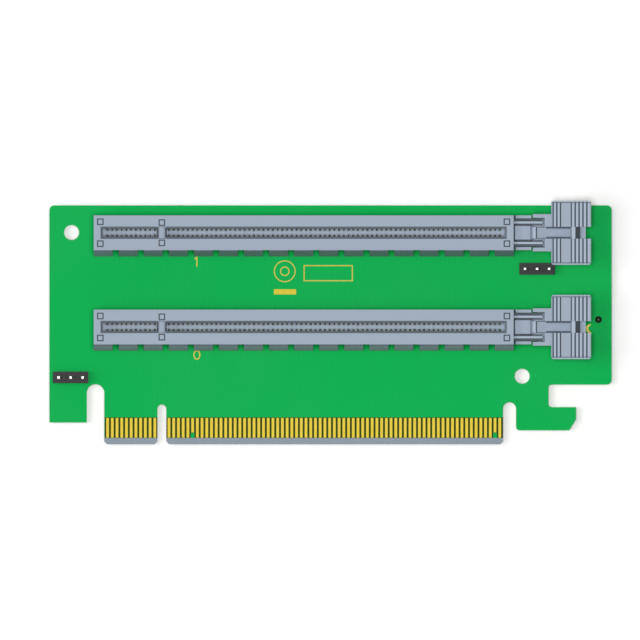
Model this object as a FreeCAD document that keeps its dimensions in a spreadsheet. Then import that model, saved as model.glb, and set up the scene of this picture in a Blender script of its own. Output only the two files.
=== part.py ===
import FreeCAD, Part
import math
import os
import re
import Sketcher

# A passive riser card with two long card slots, each closed by an ejector latch.
#
# The sizes are written in the card's own frame: X runs along the edge connector from the middle of its
# key notch, Y runs up from the edge that plugs in, and Z rises from the board's front face.
# Every sub-part is then shifted by one placement, so that the card lies on its housings' pegs and
# the origin is under the middle of the whole card.

DOC = FreeCAD.newDocument("riser_card")
SIZES = DOC.addObject("Spreadsheet::Sheet", "Sizes")

SHEET = [
    # Overlaps that join one shape to the next
    ("lap", 1.0, "how far a shape runs into its neighbour where they join"),
    ("slight_lap", 0.10, "the same where little room is left"),
    # Contacts that the finger edge and both slots share
    ("pitch", 1.0, "contact pitch of the fingers and of both slots"),
    ("first_contact", 1.50, "key notch to the first contact on either side"),
    ("short_count", 11, "contacts on the short side of the key"),
    ("long_count", 71, "contacts on the long side of the key"),
    # Board outline
    ("board_left", 23.79, "key notch to the left edge"),
    ("board_beyond_tab", 22.99, "long tab to the right edge"),
    ("board_top", 50.52, "finger edge to the top edge"),
    ("board_thickness", 1.57, "card edge thickness"),
    ("board_corner", 1.0, "radius of the upper corners"),
    ("leg_width", 7.90, "leg at the left end"),
    ("leg_bottom", 4.60, "finger edge to the foot of the left leg"),
    ("tab_margin", 0.68, "last contact to the end of a tab"),
    ("key_notch_width", 1.90, "notch between the two tabs"),
    ("key_notch_top", 8.42, "finger edge to the notch's round top"),
    ("left_notch_top", 12.70, "finger edge to the round top beside the leg"),
    ("right_notch_width", 2.77, "notch between the long tab and the hook"),
    ("right_notch_top", 8.90, "finger edge to that notch's round top"),
    ("hook_bottom", 2.95, "finger edge to the foot of the hook"),
    ("hook_length", 12.69, "right notch to the hook's tip"),
    ("hook_top", 7.83, "finger edge to the hook's catching face"),
    ("hook_neck", 6.86, "right notch to the wall behind the catching face"),
    ("hook_gap_top", 12.63, "finger edge to the top of the gap over the hook"),
    ("hook_ramp_run", 1.43, "ramp at the hook's tip, along the board"),
    ("hook_ramp_rise", 2.32, "ramp at the hook's tip, up the board"),
    ("hook_corner", 0.70, "radius of the inner corners at the hook"),
    ("tab_chamfer", 0.60, "lead-in at the corners of the tabs"),
    ("bevel_length", 1.33, "bevel along the finger edge"),
    ("bevel_land", 0.60, "thickness left at the bevelled edge"),
    ("mount_hole", 3.20, "diameter of the two mounting holes"),
    ("left_hole_inset", 4.69, "left edge to the left mounting hole"),
    ("left_hole_drop", 5.72, "top edge to the left mounting hole"),
    ("right_hole_gap", 4.05, "long tab to the right mounting hole"),
    ("right_hole_up", 14.39, "finger edge to the right mounting hole"),
    # Edge fingers
    ("finger_width", 0.66, "width of a pad"),
    ("finger_bottom", 1.40, "finger edge to the foot of the pads"),
    ("finger_top", 5.55, "finger edge to the top of the pads"),
    ("finger_cut", 1.10, "length missing at the two detect pads"),
    ("first_detect", 6, "place of the first detect pad on the long side"),
    ("copper", 0.05, "height of a plated pad"),
    # Slot housings
    ("slot_inset", 5.76, "top edge to the middle of slot 1"),
    ("slot_pitch", 19.95, "middle of slot 1 to the middle of slot 0"),
    ("slot_margin", 1.05, "last contact to the end of the slot"),
    ("end_wall", 1.89, "wall beyond the end of the slot"),
    ("housing_width", 7.35, "width of the housing without its buttresses"),
    ("housing_height", 11.25, "board to the top of the housing"),
    ("slot_width", 1.74, "width of the slot for a card edge"),
    ("slot_depth", 8.40, "depth of the slot"),
    ("mouth_lead", 0.45, "width of the lead-in round the slot's mouth"),
    ("mouth_depth", 0.75, "depth of that lead-in"),
    ("key_bar_width", 1.70, "bar that fills a card's key notch"),
    ("key_bar_drop", 0.25, "top of the housing to the top of the key bar"),
    ("chamber_wall", 0.62, "side wall outside the contacts"),
    ("chamber_roof", 1.05, "roof over the contacts"),
    ("chamber_margin", 0.50, "last contact to the end of its chamber"),
    ("buttress_count", 17, "buttresses along the lower side"),
    ("buttress_width", 4.0, "width of a buttress"),
    ("buttress_reach", 1.35, "how far a buttress stands out at the board"),
    ("buttress_ledge", 0.25, "flat ledge along the top of a buttress"),
    ("buttress_drop", 1.05, "top of the housing to the top of a buttress"),
    ("buttress_toe", 0.80, "upright foot of a buttress"),
    ("mark_size", 1.16, "side of the square marks on the top"),
    ("mark_line", 0.24, "width of the groove round a mark"),
    ("mark_depth", 0.30, "depth of that groove"),
    ("mark_inset", 1.41, "end of the housing to its pair of marks"),
    ("mark_offset", 2.32, "slot's middle to a mark at an end"),
    ("key_mark_offset", 2.15, "slot's middle to a mark beside the key bar"),
    ("peg_size", 2.20, "diameter of the pegs through the board"),
    ("peg_reach", 0.95, "back of the board to the tips of the pegs"),
    ("peg_clearance", 0.10, "gap round a peg in its hole"),
    ("peg_inset", 1.18, "end of the housing to its peg"),
    # Contacts
    ("contact_width", 0.40, "width of a contact along the slot"),
    ("inner_leg", 1.45, "slot's middle to the inner row of legs"),
    ("outer_leg_gap", 0.25, "side wall to the middle of the outer row of legs"),
    ("leg_thickness", 0.30, "thickness of a contact's leg"),
    ("contact_gap", 0.90, "gap between two facing contact bumps"),
    ("tip_gap", 0.30, "roof to a contact's tip"),
    ("bump_drop", 1.30, "a contact's tip to its bump"),
    ("tip_back", 0.35, "how far the tip stands back from the bump"),
    ("knee_share", 0.48, "height of a contact's knee as a share of the housing's height"),
    # Latch seat, measured from the right end of the housing
    ("pivot_gap", 5.66, "housing to the latch's pivot"),
    ("pivot_up", 2.60, "board to the latch's pivot"),
    ("stub_size", 1.80, "diameter of the stubs that carry the latch"),
    ("stub_clearance", 0.05, "radial running clearance on a stub"),
    ("seat_gap", 0.21, "inside of an arm to the side of the seat"),
    ("seat_radius", 2.0, "round end of the seat about the pivot"),
    ("seat_top", 4.40, "board to the top of the seat"),
    ("sill_half", 1.45, "half width of the sill between the rails"),
    ("sill_rise", 1.10, "top of the seat to the top of the sill"),
    ("sill_end", 3.46, "housing to the end of the sill"),
    ("sill_slope", 1.0, "ramp at the end of the sill"),
    ("sill_groove", 2.0, "top of the seat to the floor of the grooves beside the sill"),
    ("rail_middle", 2.17, "slot's middle to the middle of a rail"),
    ("rail_thickness", 0.48, "thickness of a rail"),
    ("rail_end", 6.16, "housing to the end of a rail"),
    ("rail_drop", 1.65, "top of the housing to the top of a rail"),
    ("cheek_thickness", 0.675, "thickness of a cheek"),
    ("cheek_start", 0.42, "housing to the start of a cheek"),
    ("cheek_end", 3.78, "housing to the end of a cheek"),
    ("cheek_drop", 2.45, "top of the housing to the top of a cheek"),
    # Latch, measured from its pivot
    ("arm_step", 0.275, "outside of the housing to the outside of an arm"),
    ("arm_thickness", 0.80, "thickness of an arm"),
    ("arm_radius", 1.60, "round foot of an arm about the pivot"),
    ("arm_lap", 2.90, "pivot to where an arm ends under its wing"),
    ("arm_fall", 0.30, "top of the trunk to the front edge of an arm"),
    ("trunk_left", 0.90, "pivot to the trunk's left face"),
    ("trunk_bottom", 4.90, "board to the underside of the trunk"),
    ("trunk_drop", 0.35, "top of the housing to the top of the trunk"),
    ("trunk_heel", 6.50, "pivot to the rear edge of the trunk's underside"),
    ("ejector_reach", 1.80, "pivot to the tip of the ejector"),
    ("ejector_half", 1.20, "half width of the ejector"),
    ("ejector_top", 5.60, "board to the top of the ejector"),
    ("ejector_bevel", 1.0, "length of the bevel at the ejector's tip"),
    ("ejector_nip", 0.30, "small bevel under the ejector's tip"),
    ("channel_half", 1.25, "half width of the latch's open channel"),
    ("throat_half", 0.86, "half width at the foot of the channel"),
    ("throat_left", 1.20, "pivot to the start of the narrow throat"),
    ("throat_right", 7.80, "pivot to the back wall of the throat"),
    ("nose_left", 6.40, "pivot to the nose that holds a card down"),
    ("nose_right", 9.60, "pivot to the rear of the nose"),
    ("nose_lip", 0.35, "upright front of the nose"),
    ("nose_lead", 0.25, "length of the lead-in on the nose"),
    ("nose_ridge", 1.0, "pivot side of the nose to the end of its ridge"),
    ("nose_dip", 0.10, "top of the wings to the ridge of the nose"),
    ("nose_back", 1.85, "pivot side of the nose to the foot of its steep back"),
    ("nose_back_fall", 0.10, "top of the trunk to the foot of that back"),
    ("nose_tail_fall", 0.85, "top of the trunk to the rear end of the nose"),
    ("nose_hollow", 1.35, "radius of the hollow between the back and the rear end"),
    ("wing_left", 2.30, "pivot to the wings' left side"),
    ("wing_right", 10.73, "pivot to the wings' right side"),
    ("wing_reach", 2.85, "outside of an arm to the end of a wing"),
    ("wing_rise", 0.95, "top of the housing to the top of the wings"),
    ("wing_height", 2.40, "height of the wings"),
    ("wing_heel_run", 1.20, "bevel under the wings' rear edge, along them"),
    ("wing_heel_rise", 0.70, "bevel under the wings' rear edge, up them"),
    ("wing_toe", 0.25, "how far the wings' front edge lies below their top"),
    ("wing_bevel", 0.42, "bevel at the outer end of a wing, along the wing"),
    ("wing_bevel_fall", 0.25, "bevel at the outer end of a wing, down from its top"),
    ("wing_corner", 0.55, "radius at the wings' corners"),
    ("front_rib_start", 2.75, "pivot to the front pair of grip ribs"),
    ("front_rib_pitch", 0.78, "pitch of the front grip ribs"),
    ("rear_rib_start", 6.60, "pivot to the rear grip ribs"),
    ("rear_rib_count", 5, "grip ribs at the rear of the wings"),
    ("rib_roundness", 0.55, "radius of a rib as a share of its pitch"),
    ("rib_fall", 0.16, "how far each rear rib lies below the last"),
    # Pin headers
    ("header_length", 7.50, "length of a header"),
    ("header_width", 2.44, "width of a header"),
    ("header_height", 2.54, "height of a header's body"),
    ("header_pitch", 2.54, "pitch of the header pins"),
    ("header_count", 3, "pins of a header"),
    ("post_size", 0.64, "side of a square pin"),
    ("post_fit", 0.01, "gap round a pin in its body"),
    ("post_hole", 1.0, "diameter of a pin's hole in the board"),
    ("post_top", 8.50, "board to the tip of a pin"),
    ("post_tail", 0.80, "back of the board to the tail end of a pin"),
    ("post_point", 0.30, "length of the chamfer at both ends of a pin"),
    ("post_lead", 0.16, "width of that chamfer"),
    ("upper_header_gap", 4.95, "end of the housing to the middle of the upper header"),
    ("upper_header_drop", 7.64, "middle of slot 1 to the upper header"),
    ("left_header_inset", 4.47, "left edge to the middle of the left header"),
    ("left_header_up", 14.14, "finger edge to the left header"),
    # Bare plated pad between the slots
    ("pad_across", 26.05, "key notch to the middle of the pad"),
    ("pad_drop", 12.51, "middle of slot 1 to the middle of the pad"),
    ("pad_length", 4.70, "length of the pad"),
    ("pad_width", 1.10, "width of the pad"),
]


def fill_sheet():
    """Writes each size and its meaning on a row of the sheet, with an alias for use in expressions."""
    for row, (name, size, meaning) in enumerate(SHEET, start=1):
        SIZES.set(f"A{row}", meaning)
        SIZES.set(f"B{row}", str(size))
        SIZES.setAlias(f"B{row}", name)
    DOC.recompute()


NAMES = {name for name, _, _ in SHEET}


def bound(text):
    """The expression in text, with each size pointing at its cell in the sheet."""
    return re.sub(r"[a-z]\w*", lambda word: "Sizes." + word[0] if word[0] in NAMES else word[0], str(text))


def number(text):
    """What the expression in text comes to now."""
    answer = SIZES.evalExpression(bound(text))
    return float(getattr(answer, "Value", answer))


def bind(thing, prop, text):
    """Ties a property to an expression over the sheet."""
    thing.setExpression(prop, bound(text))


# Places that several sub-parts share, in the card's own frame.
BOARD_BACK = "(-board_thickness)"
LOWEST = "(-board_thickness - peg_reach)"
FIRST_SHORT = "(-first_contact - pitch * (short_count - 1))"
LAST_LONG = "(first_contact + pitch * (long_count - 1))"
CONTACT_RUNS = {
    "short": (FIRST_SHORT, "short_count"),
    "long": ("first_contact", "long_count"),
}
SHORT_TAB_END = f"({FIRST_SHORT} - tab_margin)"
LONG_TAB_END = f"({LAST_LONG} + tab_margin)"
BOARD_RIGHT = f"({LONG_TAB_END} + board_beyond_tab)"
SLOT_LEFT = f"({FIRST_SHORT} - slot_margin)"
SLOT_RIGHT = f"({LAST_LONG} + slot_margin)"
HOUSING_LEFT = f"({SLOT_LEFT} - end_wall)"
HOUSING_RIGHT = f"({SLOT_RIGHT} + end_wall)"
HALF_HOUSING = "(housing_width / 2)"
PEGS = (f"({HOUSING_LEFT} + peg_inset)", "0", f"({HOUSING_RIGHT} - peg_inset)")
PIVOT = f"({HOUSING_RIGHT} + pivot_gap)"
SLOT_LINES = {1: "(board_top - slot_inset)", 0: "(board_top - slot_inset - slot_pitch)"}
ARM_OUTER = f"({HALF_HOUSING} + arm_step)"
ARM_INNER = f"({ARM_OUTER} - arm_thickness)"
WING_END = f"({ARM_OUTER} + wing_reach)"
MIDDLE_X = f"(({BOARD_RIGHT} - board_left) / 2)"
MIDDLE_Y = f"(({SLOT_LINES[1]} + {WING_END}) / 2)"

# A half circle is drawn with a radius a hair over half its width, which keeps the arc well defined.
HAIR_OVER = "1.0001"


def body(label, up="0", across="0"):
    """A sub-part, placed in the frame whose origin is under the middle of the card."""
    new = DOC.addObject("PartDesign::Body", label)
    new.Label = label
    new.AllowCompound = True
    bind(new, "Placement.Base.x", f"{across} - {MIDDLE_X}")
    bind(new, "Placement.Base.y", f"{up} - {MIDDLE_Y}")
    bind(new, "Placement.Base.z", f"-{LOWEST}")
    return new


def sketch(owner, name, plane="XY_Plane", offset="0"):
    """A sketch on one of the body's origin planes, moved along the plane's normal."""
    new = owner.newObject("Sketcher::SketchObject", name)
    role = [feature for feature in owner.Origin.OriginFeatures if feature.Role == plane]
    new.AttachmentSupport = [(role[0], "")]
    new.MapMode = "FlatFace"
    bind(new, "AttachmentOffset.Base.z", offset)
    return new


def pin_point(new, edge, end, spot):
    """Fixes one point of a sketch at an expression for each coordinate."""
    for kind, text in zip(("DistanceX", "DistanceY"), spot):
        index = new.addConstraint(Sketcher.Constraint(kind, -1, 1, edge, end, number(text)))
        new.setExpression(f"Constraints[{index}]", bound(text))


def arc_through(start, stop, radius, hollow):
    """An arc from start to stop that bulges to the right of its way, or to the left if hollow."""
    middle = (start + stop) / 2
    chord = stop - start
    outward = FreeCAD.Vector(chord.y, -chord.x, 0).normalize() * (-1 if hollow else 1)
    sagitta = radius - math.sqrt(radius * radius - chord.Length * chord.Length / 4)
    return Part.Arc(start, middle + outward * sagitta, stop)


def outline(new, corners):
    """A closed outline, given anticlockwise. A corner is (x, y), or (x, y, r) where an arc starts.

    An arc bulges outwards, or inwards where its corner is (x, y, r, "hollow").
    """
    spots = [FreeCAD.Vector(number(corner[0]), number(corner[1]), 0) for corner in corners]
    edges = []
    for place, corner in enumerate(corners):
        start = spots[place]
        stop = spots[(place + 1) % len(spots)]
        if len(corner) > 2:
            edge = new.addGeometry(arc_through(start, stop, number(corner[2]), "hollow" in corner))
            starts = 1 if new.getPoint(edge, 1).distanceToPoint(start) < 1e-6 else 2
            index = new.addConstraint(Sketcher.Constraint("Radius", edge, number(corner[2])))
            new.setExpression(f"Constraints[{index}]", bound(corner[2]))
        else:
            edge = new.addGeometry(Part.LineSegment(start, stop))
            starts = 1
        edges.append((edge, starts))
    for place, (edge, starts) in enumerate(edges):
        before, before_starts = edges[place - 1]
        new.addConstraint(Sketcher.Constraint("Coincident", before, 3 - before_starts, edge, starts))
        pin_point(new, edge, starts, corners[place][:2])


def rectangle(new, left, right, bottom, top):
    """A rectangle between four expressions."""
    outline(new, [(left, bottom), (right, bottom), (right, top), (left, top)])


def octagon(across, up, diameter):
    """The corners of an eight-sided peg that just fits in a circle of the given diameter."""
    corners = []
    for corner in range(8):
        angle = f"{22.5 + 45 * corner} deg"
        corners.append((f"{across} + {diameter} / 2 * cos({angle})", f"{up} + {diameter} / 2 * sin({angle})"))
    return corners


def circle(new, across, up, diameter):
    """A circle about a point given by expressions."""
    centre = FreeCAD.Vector(number(across), number(up), 0)
    edge = new.addGeometry(Part.Circle(centre, FreeCAD.Vector(0, 0, 1), number(diameter) / 2))
    index = new.addConstraint(Sketcher.Constraint("Diameter", edge, number(diameter)))
    new.setExpression(f"Constraints[{index}]", bound(diameter))
    pin_point(new, edge, 3, (across, up))


def pad(owner, name, profile, length, symmetric=False, reverse=False, taper=None):
    """Adds the sketch's profile as a block of the given length."""
    new = owner.newObject("PartDesign::Pad", name)
    new.Profile = profile
    new.SideType = "Symmetric" if symmetric else "One side"
    new.Reversed = reverse
    bind(new, "Length", length)
    if taper:
        bind(new, "TaperAngle", taper)
    DOC.recompute()
    return new


def pocket(owner, name, profile, length, symmetric=False, reverse=False):
    """Cuts the sketch's profile away, and makes sure that the cut took something."""
    before = owner.Shape.Volume
    new = owner.newObject("PartDesign::Pocket", name)
    new.Profile = profile
    new.SideType = "Symmetric" if symmetric else "One side"
    new.Reversed = reverse
    bind(new, "Length", length)
    DOC.recompute()
    if owner.Shape.Volume > before - 1e-6:
        raise RuntimeError(f"{name} cuts nothing from {owner.Label}")
    return new


def row_of(owner, name, features, pitch, count):
    """Repeats features along X."""
    new = owner.newObject("PartDesign::LinearPattern", name)
    new.Originals = features
    axis = [feature for feature in owner.Origin.OriginFeatures if feature.Role == "X_Axis"]
    new.Direction = (axis[0], [""])
    bind(new, "Length", f"{pitch} * ({count} - 1)")
    bind(new, "Occurrences", count)
    owner.Tip = new
    DOC.recompute()
    return new


def upright_edges(owner, spots):
    """Names of the edges along Z that stand at the given points of the body."""
    origin = owner.Placement.Base
    found = []
    for across, up in spots:
        spot = (number(across) + origin.x, number(up) + origin.y)
        for index, edge in enumerate(owner.Shape.Edges, start=1):
            first, last = edge.Vertexes[0].Point, edge.Vertexes[-1].Point
            upright = abs(first.x - last.x) < 1e-6 and abs(first.y - last.y) < 1e-6
            if upright and math.hypot(first.x - spot[0], first.y - spot[1]) < 1e-4:
                found.append(f"Edge{index}")
    return found


def dress(owner, kind, name, spots, amount):
    """A fillet or chamfer on the body's upright edges at the given points."""
    new = owner.newObject(f"PartDesign::{kind}", name)
    new.Base = (new.BaseFeature, upright_edges(owner, spots))
    bind(new, "Radius" if kind == "Fillet" else "Size", amount)
    DOC.recompute()
    return new


HEADER_SPOTS = {
    "upper_header": (f"({HOUSING_RIGHT} + upper_header_gap)", f"({SLOT_LINES[1]} - upper_header_drop)"),
    "left_header": ("(left_header_inset - board_left)", "left_header_up"),
}


def post_line(across, place):
    """Where a header's pin stands along X, counted from the left."""
    return f"({across} + header_pitch * ({place} - (header_count - 1) / 2))"


def circuit_board():
    """The board: its outline, three round-ended notches, the finger bevel and the holes."""
    board = body("circuit_board")
    leg_right = "(leg_width - board_left)"
    hook_left = f"({LONG_TAB_END} + right_notch_width)"
    hook_right = f"({hook_left} + hook_length)"
    hook_throat = f"({hook_left} + hook_neck)"
    profile = sketch(board, "board_outline", offset=BOARD_BACK)
    outline(profile, [
        ("-board_left", "leg_bottom"),
        (leg_right, "leg_bottom"),
        (leg_right, "hook_bottom"),
        (SHORT_TAB_END, "hook_bottom"),
        (SHORT_TAB_END, "0"),
        (LONG_TAB_END, "0"),
        (LONG_TAB_END, "hook_bottom"),
        (f"{hook_right} - hook_ramp_run", "hook_bottom"),
        (hook_right, "hook_bottom + hook_ramp_rise"),
        (hook_right, "hook_top"),
        (hook_throat, "hook_top"),
        (hook_throat, "hook_gap_top"),
        (BOARD_RIGHT, "hook_gap_top"),
        (BOARD_RIGHT, "board_top"),
        ("-board_left", "board_top"),
    ])
    pad(board, "board_blank", profile, "board_thickness")

    notches = [
        (leg_right, SHORT_TAB_END, "left_notch_top"),
        ("-key_notch_width / 2", "key_notch_width / 2", "key_notch_top"),
        (LONG_TAB_END, hook_left, "right_notch_top"),
    ]
    straight = sketch(board, "notch_sides")
    round_ends = sketch(board, "notch_ends")
    for left, right, top in notches:
        width = f"({right} - ({left}))"
        rectangle(straight, left, right, "-lap", f"{top} - {width} / 2")
        circle(round_ends, f"({right} + ({left})) / 2", f"{top} - {width} / 2", width)
    pocket(board, "notch_side_cut", straight, "2 * board_thickness", symmetric=True)
    pocket(board, "notch_end_cut", round_ends, "2 * board_thickness", symmetric=True)

    holes = sketch(board, "hole_circles")
    circle(holes, "left_hole_inset - board_left", "board_top - left_hole_drop", "mount_hole")
    circle(holes, f"{LONG_TAB_END} + right_hole_gap", "right_hole_up", "mount_hole")
    for line in SLOT_LINES.values():
        for across in PEGS:
            circle(holes, across, line, "peg_size + 2 * peg_clearance")
    for across, up in HEADER_SPOTS.values():
        for place in range(round(number("header_count"))):
            circle(holes, post_line(across, place), up, "post_hole")
    pocket(board, "hole_cut", holes, "2 * board_thickness", symmetric=True)

    bevel = sketch(board, "finger_bevel", "YZ_Plane")
    depth = "((board_thickness - bevel_land) / 2 * (1 + lap / bevel_length))"
    outline(bevel, [("-lap", f"-{depth}"), ("bevel_length", "0"), ("-lap", "0")])
    outline(bevel, [("-lap", BOARD_BACK), ("bevel_length", BOARD_BACK), ("-lap", f"{BOARD_BACK} + {depth}")])
    pocket(board, "finger_bevel_cut", bevel, f"2 * (board_left + {BOARD_RIGHT})", symmetric=True)

    dress(board, "Fillet", "board_corners", [
        ("-board_left", "board_top"), (BOARD_RIGHT, "board_top"), (BOARD_RIGHT, "hook_gap_top"),
    ], "board_corner")
    dress(board, "Fillet", "hook_corners", [
        (hook_throat, "hook_top"), (hook_throat, "hook_gap_top"), (hook_left, "hook_bottom"),
    ], "hook_corner")
    tab_ends = (SHORT_TAB_END, "-key_notch_width / 2", "key_notch_width / 2", LONG_TAB_END)
    dress(board, "Chamfer", "tab_corners", [(across, "0") for across in tab_ends], "tab_chamfer")
    return board


def edge_fingers(label, base, up):
    """The plated pads of one face. Both detect pads are cut short at the foot."""
    fingers = body(label)
    for run, (first, count) in CONTACT_RUNS.items():
        shape = sketch(fingers, run + "_pad_outline", offset=base)
        rectangle(shape, f"{first} - finger_width / 2", f"{first} + finger_width / 2",
                  "finger_bottom", "finger_top")
        one = pad(fingers, run + "_pad_first", shape, "copper", reverse=not up)
        row_of(fingers, run + "_pads", [one], "pitch", count)
    trim = sketch(fingers, "detect_pad_trim", offset=base)
    for across in ("first_contact + pitch * (first_detect - 1)", f"{LAST_LONG} - pitch"):
        rectangle(trim, f"{across} - pitch / 2", f"{across} + pitch / 2",
                  "finger_bottom - lap", "finger_bottom + finger_cut")
    fingers.Tip = pocket(fingers, "detect_pad_cut", trim, "copper", reverse=up)
    return fingers


HOUSING_TOP = "housing_height"
SLOT_FLOOR = "(housing_height - slot_depth)"
HALF_SLOT = "(slot_width / 2)"
HALF_KEY = "(key_bar_width / 2)"


def slot_openings(housing):
    """The slot on both sides of the key bar, its lead-in, and the chambers that hold the contacts."""
    mouth = sketch(housing, "mouth_outline", offset=HOUSING_TOP)
    rectangle(mouth, f"{SLOT_LEFT} - mouth_lead", f"{SLOT_RIGHT} + mouth_lead",
              f"-{HALF_SLOT} - mouth_lead", f"{HALF_SLOT} + mouth_lead")
    lead_in = pocket(housing, "mouth_cut", mouth, "mouth_depth")
    bind(lead_in, "TaperAngle", "-atan(mouth_lead / mouth_depth)")

    slot = sketch(housing, "slot_outline", offset=SLOT_FLOOR)
    rectangle(slot, SLOT_LEFT, SLOT_RIGHT, f"-{HALF_SLOT}", HALF_SLOT)
    pocket(housing, "slot_cut", slot, "slot_depth", reverse=True)

    key = sketch(housing, "key_bar_outline", "XZ_Plane")
    shoulder = "(housing_height - key_bar_drop - key_bar_width / 2)"
    outline(key, [
        (f"-{HALF_KEY}", f"{SLOT_FLOOR} - slight_lap"),
        (HALF_KEY, f"{SLOT_FLOOR} - slight_lap"),
        (HALF_KEY, shoulder, f"key_bar_width / 2 * {HAIR_OVER}"),
        (f"-{HALF_KEY}", shoulder),
    ])
    pad(housing, "key_bar", key, "slot_width + 2 * mouth_lead", symmetric=True)

    chambers = sketch(housing, "chamber_outline")
    for first, count in CONTACT_RUNS.values():
        left = f"{first} - chamber_margin"
        right = f"{first} + pitch * ({count} - 1) + chamber_margin"
        rectangle(chambers, left, right, HALF_SLOT, f"{HALF_HOUSING} - chamber_wall")
        rectangle(chambers, left, right, f"chamber_wall - {HALF_HOUSING}", f"-{HALF_SLOT}")
    pocket(housing, "chamber_cut", chambers, "housing_height - chamber_roof", reverse=True)


def top_marks(housing):
    """A square groove round each of the six marks on the top face."""
    rings = sketch(housing, "mark_outlines", offset=HOUSING_TOP)
    pairs = [
        (f"({HOUSING_LEFT} + mark_inset)", "mark_offset"),
        ("0", "key_mark_offset"),
        (f"({HOUSING_RIGHT} - mark_inset)", "mark_offset"),
    ]
    for across, offset in pairs:
        for middle in (offset, f"-{offset}"):
            for half in ("(mark_size + mark_line) / 2", "(mark_size - mark_line) / 2"):
                rectangle(rings, f"{across} - {half}", f"{across} + {half}",
                          f"{middle} - {half}", f"{middle} + {half}")
    pocket(housing, "mark_cut", rings, "mark_depth")


def latch_seat(housing):
    """The open end of the housing: a round-ended seat, a sill between grooves, rails, cheeks and stubs."""
    rooted = f"({HOUSING_RIGHT} - lap)"
    seat = sketch(housing, "seat_outline", "XZ_Plane")
    outline(seat, [
        (rooted, "0"),
        (f"{PIVOT} - seat_radius", "0"),
        (PIVOT, "pivot_up - seat_radius", f"seat_radius * {HAIR_OVER}"),
        (PIVOT, "pivot_up + seat_radius"),
        (f"{PIVOT} - seat_radius", "seat_top"),
        (rooted, "seat_top"),
    ])
    pad(housing, "seat", seat, f"2 * ({ARM_INNER} - seat_gap)", symmetric=True)

    sill = sketch(housing, "sill_outline", "XZ_Plane")
    sill_end = f"({HOUSING_RIGHT} + sill_end)"
    outline(sill, [
        (rooted, "seat_top - slight_lap"),
        (f"{sill_end} + sill_slope", "seat_top - slight_lap"),
        (f"{sill_end} + sill_slope", "seat_top"),
        (sill_end, "seat_top + sill_rise"),
        (rooted, "seat_top + sill_rise"),
    ])
    pad(housing, "sill", sill, "2 * sill_half", symmetric=True)

    grooves = sketch(housing, "sill_groove_outlines", offset="seat_top")
    rails = sketch(housing, "rail_outlines")
    cheeks = sketch(housing, "cheek_outlines")
    cheek_start, cheek_end = f"{HOUSING_RIGHT} + cheek_start", f"{HOUSING_RIGHT} + cheek_end"
    for side in (1, -1):
        inside = f"{side} * (rail_middle - rail_thickness / 2)"
        outside = f"{side} * (rail_middle + rail_thickness / 2)"
        low, high = sorted([f"{side} * sill_half", inside], key=number)
        rectangle(grooves, HOUSING_RIGHT, f"{sill_end} + sill_slope", low, high)
        low, high = sorted([inside, outside], key=number)
        rectangle(rails, rooted, f"{HOUSING_RIGHT} + rail_end", low, high)
        low, high = sorted([f"{side} * ({HALF_HOUSING} - cheek_thickness)",
                            f"{side} * {HALF_HOUSING}"], key=number)
        rectangle(cheeks, cheek_start, cheek_end, low, high)
    pocket(housing, "sill_groove_cut", grooves, "sill_groove")
    pad(housing, "rails", rails, "housing_height - rail_drop")
    pad(housing, "cheeks", cheeks, "housing_height - cheek_drop")

    foot = sketch(housing, "cheek_foot_outline")
    rectangle(foot, rooted, cheek_end, f"-{HALF_HOUSING}", HALF_HOUSING)
    pad(housing, "cheek_foot", foot, "pivot_up")

    stubs = sketch(housing, "stub_outline", "XZ_Plane")
    circle(stubs, PIVOT, "pivot_up", "stub_size")
    pad(housing, "stubs", stubs, f"2 * {ARM_OUTER}", symmetric=True)


def slot_housing(slot):
    """One moulded slot housing, with its buttresses along the lower side and its three pegs."""
    housing = body(f"slot_{slot}_housing", up=SLOT_LINES[slot])
    block = sketch(housing, "block_outline")
    rectangle(block, HOUSING_LEFT, HOUSING_RIGHT, f"-{HALF_HOUSING}", HALF_HOUSING)
    pad(housing, "block", block, HOUSING_TOP)

    buttress = sketch(housing, "buttress_outline", "YZ_Plane", offset=HOUSING_LEFT)
    buttress_top = "housing_height - buttress_drop"
    outline(buttress, [
        (f"-{HALF_HOUSING} - buttress_reach", "0"),
        (f"slight_lap - {HALF_HOUSING}", "0"),
        (f"slight_lap - {HALF_HOUSING}", buttress_top),
        (f"-{HALF_HOUSING} - buttress_ledge", buttress_top),
        (f"-{HALF_HOUSING} - buttress_reach", "buttress_toe"),
    ])
    first = pad(housing, "buttress_first", buttress, "buttress_width")
    span = f"({HOUSING_RIGHT} - {HOUSING_LEFT} - buttress_width)"
    row_of(housing, "buttresses", [first], f"{span} / (buttress_count - 1)", "buttress_count")

    latch_seat(housing)
    slot_openings(housing)
    top_marks(housing)

    pegs = sketch(housing, "peg_octagons")
    for across in PEGS:
        outline(pegs, octagon(across, "0", "peg_size"))
    housing.Tip = pad(housing, "pegs", pegs, "board_thickness + peg_reach", reverse=True)
    return housing


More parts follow.
